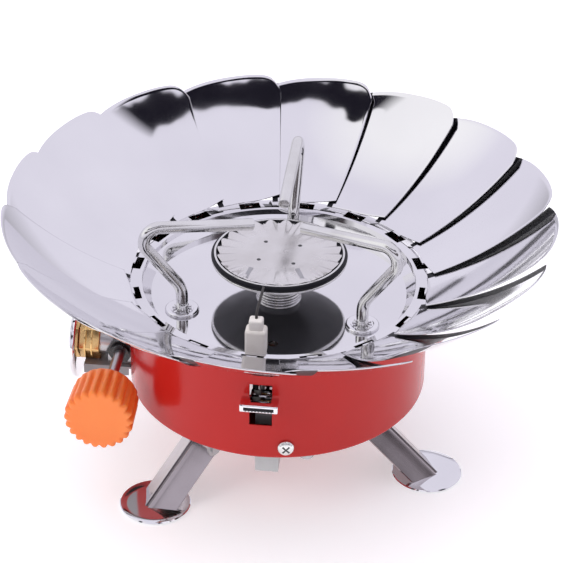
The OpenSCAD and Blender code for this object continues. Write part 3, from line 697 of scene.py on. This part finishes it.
def burner_head():
    """The ring under the cap, painted near-black for the shade in the ports and gaps round it, the polished
    rim under it, the cone painted dark grey as its reflection, and the ringed collar.
    """
    bm = bmesh.new()
    ring = [
        (21.4, -3.1), (RIM_R - 0.25, -3.1), (RIM_R, -2.6), (RIM_R, -1.9), (RIM_R - 0.6, -1.25),
        (22.9, -1.25), (22.6, -2.0), (21.4, -2.0),
    ]
    lathe(bm, round_off(ring, 0.35), 144, move(0, 0, HEAD_TOP))
    # Painted shade: the ring seen through the ports and under the lip is near-black
    obj = new_object("burner_ring_round", bm, MATERIALS["painted_shade_steel"])
    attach(obj, "root")
    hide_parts("burner_ring")
    bm = bmesh.new()
    low = FLOOR_Z + 3.8 - HEAD_TOP
    cup = [
        (TUBE_R + 0.1, low), (TUBE_R + 1.0, low), (TUBE_R + 1.5, low + 2.4), (15.0, low + 5.0),
        (23.6, -4.6), (24.2, -4.2), (24.2, -3.2), (23.6, -3.2), (23.4, -4.0), (14.7, low + 5.7),
        (TUBE_R + 0.8, low + 3.1), (TUBE_R + 0.1, low + 3.0),
    ]
    lathe(bm, round_off(cup, 0.5), 144, move(0, 0, HEAD_TOP))
    # Painted reflection: the steel cone is a dull dark grey
    obj = new_object("burner_cup_spun", bm, MATERIALS["cone_steel"])
    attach(obj, "root")
    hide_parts("burner_cup")
    bm = bmesh.new()
    rim = [(23.9, -4.35), (24.5, -4.2), (24.7, -3.75), (24.5, -3.3), (23.9, -3.2)]
    lathe(bm, round_off(rim, 0.2), 144, move(0, 0, HEAD_TOP))
    obj = new_object("burner_rim", bm, MATERIALS["rod_steel"])
    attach(obj, "root")
    bm = bmesh.new()
    collar = [
        (6.2, 0), (8.25, 0), (8.25, 1.0), (7.6, 1.35), (7.6, 2.1), (8.25, 2.45), (8.25, 3.5), (6.2, 3.5),
    ]
    lathe(bm, round_off(collar, 0.4), 96, move(0, 0, FLOOR_Z))
    obj = new_object("burner_collar_ringed", bm, MATERIALS["rod_steel"])
    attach(obj, "root")
    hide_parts("burner_collar")


# ---------------------------------------------------------------- pot supports


def pot_supports():
    """Wire arms that lean out from their posts and run back in to a sloping tip."""
    top, tip_r, lean, drop = FLOOR_Z + 38, 10.5, 19.7, 7.9
    corners = [
        (POST_R, 0, FLOOR_Z - 12.6), (POST_R, 0, FLOOR_Z + 9.5), (POST_R + lean, 0, top),
        (tip_r, 0, top - drop),
    ]
    path = bend_path(corners, (11, 5))
    for index, azimuth in enumerate(SUPPORT_AZ):
        body = f"pot_support_{index + 1}"
        turned = [turn_z(azimuth) @ p for p in path]
        rod = tube_along(body + "_rod", turned, ROD_R, MATERIALS["rod_steel"], 28, tip=0.5)
        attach(rod, body)
        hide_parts(body)
        bm = bmesh.new()
        collar = [(ROD_R - 0.05, -11.9), (4.0, -11.9), (4.0, -10.9), (ROD_R - 0.05, -10.9)]
        lathe(bm, round_off(collar, 0.2), 40, turn_z(azimuth) @ move(POST_R, 0, FLOOR_Z))
        keeper = new_object(body + "_keeper", bm, MATERIALS["rod_steel"])
        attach(keeper, body)


def support_bushes():
    """Flanged bushes, each with a toothed retaining washer round the rod."""
    bm = bmesh.new()
    flange = [
        (2.25, -10.6), (3.9, -10.6), (3.9, 0), (6.2, 0), (6.2, 0.75), (5.6, 1.2), (4.3, 0.95),
        (3.9, 0.75), (2.25, 0.75),
    ]
    for azimuth in SUPPORT_AZ:
        at = turn_z(azimuth) @ move(POST_R, 0, FLOOR_Z)
        lathe(bm, round_off(flange, 0.3), 64, at)
        for k in range(12):
            tooth = at @ turn_z(k * 30)
            block(bm, (2.4, -0.28, 0.7), (3.5, 0.28, 1.15), 0.08, 2, tooth)
    obj = new_object("support_bushes_turned", bm, MATERIALS["mirror_steel"])
    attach(obj, "root")
    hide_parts("support_bushes")


# ---------------------------------------------------------------- legs


def leg(index, azimuth):
    """A strip folded along a pressed crease; its wings run out on a dished round foot."""
    foot_x, foot_r, half = 59.5, 13.1, 8.7
    end_x = foot_x + 2
    slope = atan2(PIN_Z - 0.9, end_x - PIN_R)
    length = hypot(PIN_Z - 0.9, end_x - PIN_R)
    along = Vector((cos(slope), 0, -sin(slope)))
    up = Vector((sin(slope), 0, cos(slope)))
    profile = [
        (-1, -3.5), (-0.75, -2.3), (-0.5, -1.15), (-0.25, 0.1), (-0.13, 0.85), (-0.08, 1.0),
        (-0.04, 0.75), (0, 0.4),
    ]
    profile += [(-u, lift) for u, lift in reversed(profile[:-1])]
    bm = bmesh.new()
    bmesh.ops.create_grid(bm, x_segments=24, y_segments=len(profile) - 1, size=0.5)
    for v in bm.verts:
        u, lift = profile[round((v.co.y + 0.5) * (len(profile) - 1))]
        s = -8.6 + (length + 16) * (v.co.x + 0.5)
        v.co = Vector((PIN_R, 0, PIN_Z)) + along * s + up * lift + Vector((0, half * u, 0))
    bmesh.ops.recalc_face_normals(bm, faces=bm.faces)
    if sum(f.normal.z for f in bm.faces) < 0:
        bmesh.ops.reverse_faces(bm, faces=bm.faces)
    bmesh.ops.solidify(bm, geom=list(bm.faces), thickness=0.75)
    bmesh.ops.bisect_plane(
        bm, geom=list(bm.verts) + list(bm.edges) + list(bm.faces), dist=1e-5,
        plane_co=(0, 0, 0.3), plane_no=(0, 0, 1), clear_inner=True,
    )
    disc = [(0, 0.4), (foot_r - 3.4, 0.4), (foot_r - 1.2, 0.72), (foot_r - 0.4, 0.9), (foot_r, 0.6),
            (foot_r - 0.3, 0.1), (foot_r - 1.2, 0.0), (0, 0.0)]
    strip_faces = set(bm.faces)
    lathe(bm, disc, 72, move(foot_x, 0, 0), closed=False)
    for f in bm.faces:
        f.material_index = 0 if f in strip_faces else 1
    across = move(PIN_R, 0, PIN_Z) @ Matrix.Rotation(pi / 2, 4, "X")
    knuckle = [(0, -half), (2.3, -half), (2.3, half), (0, half)]
    lathe(bm, round_off(knuckle, 0.4, closed=False), 40, across, closed=False)
    bmesh.ops.transform(bm, matrix=turn_z(azimuth), verts=bm.verts)
    body = f"leg_{index + 1}"
    # Strip in the brownish steel of painted reflection; the foot in mirror steel
    obj = new_object(body + "_strip", bm, MATERIALS["leg_steel"], 32)
    obj.data.materials.append(MATERIALS["mirror_steel"])
    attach(obj, body)
    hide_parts(body)


def legs():
    for index, azimuth in enumerate(LEG_AZ):
        leg(index, azimuth)


# ---------------------------------------------------------------- gas valve


def knob():
    """Moulded knob: a domed back and flutes that run out through the flat front."""
    low, high = box_mm("knob")
    radius, length = (high.x - low.x) / 2, high.y - low.y
    flutes = 22
    bm = bmesh.new()
    outline = [
        (0.0, 0.0), (2.2, 0.0), (radius - 4.6, 0.05), (radius - 2.6, 0.7), (radius - 1.2, 1.9),
        (radius - 0.5, 3.2),
    ]
    outline += [(radius - 0.45 + 0.4 * t / 10, 3.2 + (length - 4.6) * t / 10) for t in range(1, 11)]
    outline += [(radius - 0.25, length - 0.75), (radius - 0.9, length - 0.15), (radius - 1.6, length)]
    outline += [(radius - 3.0, length - 0.05), (0.0, length - 0.25)]
    verts = lathe(bm, outline, steps=352, closed=False)
    for v in verts:
        r, a = hypot(v.co.x, v.co.y), atan2(v.co.y, v.co.x)
        if r < radius - 3.4:
            continue
        deep = min(1.0, max(0.0, (v.co.z - 1.2) / 6.0)) * min(1.0, (r - radius + 3.4) / 2.0)
        groove = (0.5 - 0.5 * cos(a * flutes)) ** 1.6
        shrink = 1 - 1.15 * deep * groove / r
        v.co.x, v.co.y = v.co.x * shrink, v.co.y * shrink
    centre = (low + high) / 2
    at = move(centre.x, high.y, centre.z) @ Matrix.Rotation(pi / 2, 4, "X")
    bmesh.ops.transform(bm, matrix=at, verts=bm.verts)
    bmesh.ops.recalc_face_normals(bm, faces=bm.faces)
    obj = new_object("knob_fluted", bm, MATERIALS["orange_plastic"], 50)
    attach(obj, "knob")
    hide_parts("knob")


def inlet():
    """The round inlet disc, and the brass hexagon with grooves turned round it."""
    low, high = box_mm("connector_disc")
    centre = (low + high) / 2
    radius, thick = (high.y - low.y) / 2, high.x - low.x
    to_x = move(high.x, centre.y, centre.z) @ Matrix.Rotation(-pi / 2, 4, "Y")
    bm = bmesh.new()
    bore = 5.56
    disc = [
        (bore, 0), (radius - 0.7, 0), (radius, 0.5), (radius, thick - 0.5), (radius - 0.5, thick),
        (8.2, thick), (7.9, thick - 0.35), (bore, thick - 0.35),
    ]
    lathe(bm, round_off(disc, 0.3), 96, to_x)
    obj = new_object("connector_disc_turned", bm, MATERIALS["mirror_steel"])
    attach(obj, "root")
    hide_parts("connector_disc")
    low, high = box_mm("coupling_nut")
    length = high.x - low.x
    bm = bmesh.new()
    corner_r = max(high.z - low.z, high.y - low.y) / 2
    ring = bmesh.ops.create_cone(
        bm, cap_ends=True, segments=6, radius1=corner_r, radius2=corner_r, depth=length
    )["verts"]
    bmesh.ops.bevel(
        bm, geom=list({e for v in ring for e in v.link_edges}), offset=0.35, segments=3,
        profile=0.5, affect="EDGES", material=-1, clamp_overlap=True,
    )
    spot = (low + high) / 2
    bmesh.ops.transform(
        bm, matrix=move(*spot) @ Matrix.Rotation(-pi / 2, 4, "Y"), verts=bm.verts
    )
    for share in (0.3, 0.62):
        outer = corner_r * 0.99
        groove = [(corner_r - 0.9, -0.25), (outer, -0.25), (outer, 0.25), (corner_r - 0.9, 0.25)]
        at = move(low.x + length * share, spot.y, spot.z) @ Matrix.Rotation(-pi / 2, 4, "Y")
        lathe(bm, groove, 48, at)
    obj = new_object("coupling_nut_hex", bm, MATERIALS["brass"])
    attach(obj, "root")
    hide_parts("coupling_nut")


# ---------------------------------------------------------------- ignition


def electrode():
    """White ceramic block on the pan, and the wire that bends over towards the burner's rim."""
    low, high = box_mm("electrode_ceramic")
    x, y = (low.x + high.x) / 2, (low.y + high.y) / 2
    bm = bmesh.new()
    block(bm, (x - 3.8, y - 3, FLOOR_Z), (x + 3.8, y + 3, FLOOR_Z + 10.6), 1.3, 4)
    block(bm, (x - 2.5, y - 2.2, FLOOR_Z + 8), (x + 2.5, y + 2.2, FLOOR_Z + 14.4), 0.9, 4)
    foot = [(0, -6), (2, -6), (2, 0.2), (0, 0.2)]
    lathe(bm, foot, 32, move(x, y, FLOOR_Z), closed=False)
    obj = new_object("electrode_ceramic_body", bm, MATERIALS["white_ceramic"])
    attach(obj, "root")
    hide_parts("electrode_ceramic")
    reach = RIM_R + 1.6
    corners = [(x, y, FLOOR_Z - 9), (x, y, FLOOR_Z + 16.6), (x + 0.6, -reach, FLOOR_Z + 17.4)]
    path = bend_path(corners, (2.6,))
    wire = tube_along("electrode_wire_bent", path, 0.5, MATERIALS["electrode_metal"], 14, tip=0.2)
    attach(wire, "root")
    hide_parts("electrode_wire")


def lever():
    """Sheet lever: a rounded lip in front, a neck through the slot and a plate behind it."""
    low, high = box_mm("igniter_lever")
    top = high.z
    wall = -54.9
    bm = bmesh.new()
    block(bm, (low.x, low.y + 0.3, top - 1.0), (high.x, wall - 0.9, top), 0.4, 3)
    block(bm, (low.x, low.y + 0.03, top - 2.9), (high.x, low.y + 1.0, top), 0.48, 4)
    block(bm, (-3.6, wall - 1.6, top - 1.0), (3.6, wall + 3.6, top - 0.02), 0.2, 2)
    block(bm, (-0.7, wall + 2.7, top - 1.0), (3.7, high.y, top - 0.02), 0.2, 2)
    obj = new_object("igniter_lever_sheet", bm, MATERIALS["mirror_steel"])
    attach(obj, "igniter_lever")
    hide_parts("igniter_lever")
    bm = bmesh.new()
    block(bm, (-3.6, wall + 1.1, top - 7.4), (3.6, wall + 1.7, top - 0.4), 0.2, 2)
    plate = new_object("igniter_lever_plate", bm, MATERIALS["grey_plastic"])
    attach(plate, "igniter_lever")
    # Grip pressed into the lip, painted near-black for the shade in its pressing
    bm = bmesh.new()
    block(bm, (low.x + 1.3, low.y, top - 2.25), (high.x - 1.3, low.y + 0.5, top - 0.7), 0.2, 3)
    for k in range(9):
        x = low.x + 2.2 + k * (high.x - low.x - 4.4) / 8
        block(bm, (x - 0.4, low.y, top - 2.5), (x + 0.4, low.y + 0.5, top - 2.1), 0.15, 2)
    grip = new_object("igniter_lever_grip", bm, MATERIALS["painted_shade_steel"])
    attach(grip, "igniter_lever")


def cross_screw():
    """Pan-head screw with a cross recess, painted near-black for the shade inside it."""
    at = turn_z(279.4) @ move(54.9, 0, 37.5) @ Matrix.Rotation(pi / 2, 4, "Y")
    bm = bmesh.new()
    head = [(0, -6), (1.5, -6), (1.5, 0), (3.0, 0), (3.0, 0.75), (2.4, 1.5), (1.2, 1.82), (0, 1.9)]
    lathe(bm, round_off(head, 0.3, closed=False), 48, at, closed=False)
    obj = new_object("igniter_screw_head", bm, MATERIALS["rod_steel"])
    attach(obj, "root")
    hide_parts("igniter_screw")
    bm = bmesh.new()
    # Painted shade: near-black bars for the cross recess
    for a in (45, 135):
        block(bm, (-1.7, -0.32, 1.0), (1.7, 0.32, 1.93), 0.1, 2, at @ turn_z(a))
    obj = new_object("igniter_screw_recess", bm, MATERIALS["black_steel"])
    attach(obj, "root")


# ---------------------------------------------------------------- stage, light and camera


def studio():
    """White floor, a pale surround with dark areas in front, and soft lights."""
    scene = bpy.context.scene
    scene.view_settings.view_transform = "Standard"
    bpy.ops.mesh.primitive_plane_add(size=12, location=(0, 0, -0.0002))
    floor = bpy.context.object
    floor.name = "floor"
    material = bpy.data.materials.new("floor_white")
    material.use_nodes = True
    shader = material.node_tree.nodes["Principled BSDF"]
    shader.inputs["Base Color"].default_value = (0.9, 0.9, 0.9, 1)
    shader.inputs["Roughness"].default_value = 0.9
    shader.inputs["Emission Color"].default_value = (1, 1, 1, 1)
    shader.inputs["Emission Strength"].default_value = 0.35
    floor.data.materials.append(material)

    world = bpy.data.worlds.new("surround")
    scene.world = world
    world.use_nodes = True
    tree = world.node_tree
    where = tree.nodes.new("ShaderNodeTexCoord")
    axes = tree.nodes.new("ShaderNodeSeparateXYZ")
    tree.links.new(where.outputs["Generated"], axes.inputs[0])

    def maths(operation, first, second=None):
        node = tree.nodes.new("ShaderNodeMath")
        node.operation = operation
        for socket, what in zip(node.inputs, (first, second)):
            if isinstance(what, bpy.types.NodeSocket):
                tree.links.new(what, socket)
            elif what is not None:
                socket.default_value = what
        return node.outputs[0]

    def blend(factor, first, second):
        node = tree.nodes.new("ShaderNodeMix")
        node.data_type = "RGBA"
        tree.links.new(factor, node.inputs["Factor"])
        for socket, what in ((node.inputs[6], first), (node.inputs[7], second)):
            if isinstance(what, bpy.types.NodeSocket):
                tree.links.new(what, socket)
            else:
                socket.default_value = (*what, 1)
        return node.outputs[2]

    def smooth_mask(value, start, stop):
        return spread(tree, value, 0.0, 1.0, start, stop)

    # Azimuth and height of the direction, in degrees
    bearing = maths("MULTIPLY", maths("ARCTAN2", axes.outputs["Y"], axes.outputs["X"]), degrees(1))
    rise = maths("MULTIPLY", maths("ARCSINE", axes.outputs["Z"]), degrees(1))
    wobble_node = tree.nodes.new("ShaderNodeTexNoise")
    tree.links.new(where.outputs["Generated"], wobble_node.inputs["Vector"])
    wobble_node.inputs["Scale"].default_value = 5.5
    wobble_node.inputs["Detail"].default_value = 1.5
    wobble = maths("MULTIPLY", maths("SUBTRACT", wobble_node.outputs["Fac"], 0.5), 16.0)
    # Pale surround, a white panel at the left, a dark arch above the front and a dim band under it
    front, arch_top, arch_fall, band_rise = -80.0, 59.0, 0.0015, 34.0
    apart = maths("ADD", bearing, -front)
    arch = maths("SUBTRACT", arch_top, maths("MULTIPLY", maths("MULTIPLY", apart, apart), arch_fall))
    off_arch = maths("ABSOLUTE", maths("ADD", maths("SUBTRACT", rise, arch), wobble))
    off_front = maths("ABSOLUTE", apart)
    dark = maths("MULTIPLY", smooth_mask(off_arch, 5.6, 4.6), smooth_mask(off_front, 78.0, 70.0))
    toward = tree.nodes.new("ShaderNodeVectorMath")
    toward.operation = "DOT_PRODUCT"
    tree.links.new(where.outputs["Generated"], toward.inputs[0])
    toward.inputs[1].default_value = (-0.718, -0.192, 0.669)
    panel = smooth_mask(toward.outputs["Value"], 0.82, 0.95)
    above_ground = smooth_mask(axes.outputs["Z"], -0.02, 0.2)
    surround = blend(above_ground, (0.42, 0.41, 0.45), (0.84, 0.815, 0.925))
    surround = blend(panel, surround, (1.02, 1.01, 1.04))
    surround = blend(dark, surround, (0.012, 0.011, 0.018))
    off_band = maths("ABSOLUTE", maths("ADD", maths("SUBTRACT", rise, band_rise), wobble))
    dim = maths("MULTIPLY", smooth_mask(off_band, 8.0, 5.0), smooth_mask(off_front, 72.0, 60.0))
    surround = blend(dim, surround, (0.06, 0.045, 0.05))
    tree.links.new(surround, tree.nodes["Background"].inputs["Color"])
    tree.nodes["Background"].inputs["Strength"].default_value = 1.0

    def softbox(name, size, power, place, aim=(0, 0, 0.06), seen=False):
        data = bpy.data.lights.new(name, "AREA")
        data.shape = "RECTANGLE"
        data.size, data.size_y = size
        data.energy = power
        light = bpy.data.objects.new(name, data)
        scene.collection.objects.link(light)
        light.location = place
        light.rotation_euler = (Vector(aim) - Vector(place)).to_track_quat("-Z", "Y").to_euler()
        light.visible_glossy = seen
        return light

    softbox("top_softbox", (1.6, 1.6), 10, (0.0, 0.0, 1.8))
    softbox("left_softbox", (0.9, 0.9), 7, (-1.3, -0.8, 1.0))


def camera():
    """Camera above the front, a little to the right, rolled by almost a degree."""
    distance, height = 658.2 * MM, 485.5 * MM
    pitch, yaw, roll = radians(32.132), radians(0.0615), radians(-0.927)
    turned = Matrix.Rotation(radians(6), 3, "Z")
    ahead = Vector((cos(pitch) * sin(yaw), cos(pitch) * cos(yaw), -sin(pitch)))
    right = Vector((cos(yaw), -sin(yaw), 0))
    up = right.cross(ahead)
    x = turned @ (right * cos(roll) - up * sin(roll))
    y = turned @ (right * sin(roll) + up * cos(roll))
    z = turned @ -ahead
    place = turned @ Vector((0, -distance, height))
    data = bpy.data.cameras.new("camera")
    data.lens = 135.88
    data.sensor_width = 36
    data.clip_start, data.clip_end = 0.02, 50
    obj = bpy.data.objects.new("camera", data)
    bpy.context.scene.collection.objects.link(obj)
    obj.matrix_world = Matrix.Translation(place) @ Matrix((x, y, z)).transposed().to_4x4()
    bpy.context.scene.camera = obj


camera()
studio()
dress_frame()
windshield()
burner_cap()
burner_head()
pot_supports()
support_bushes()
legs()
knob()
inlet()
electrode()
lever()
cross_screw()
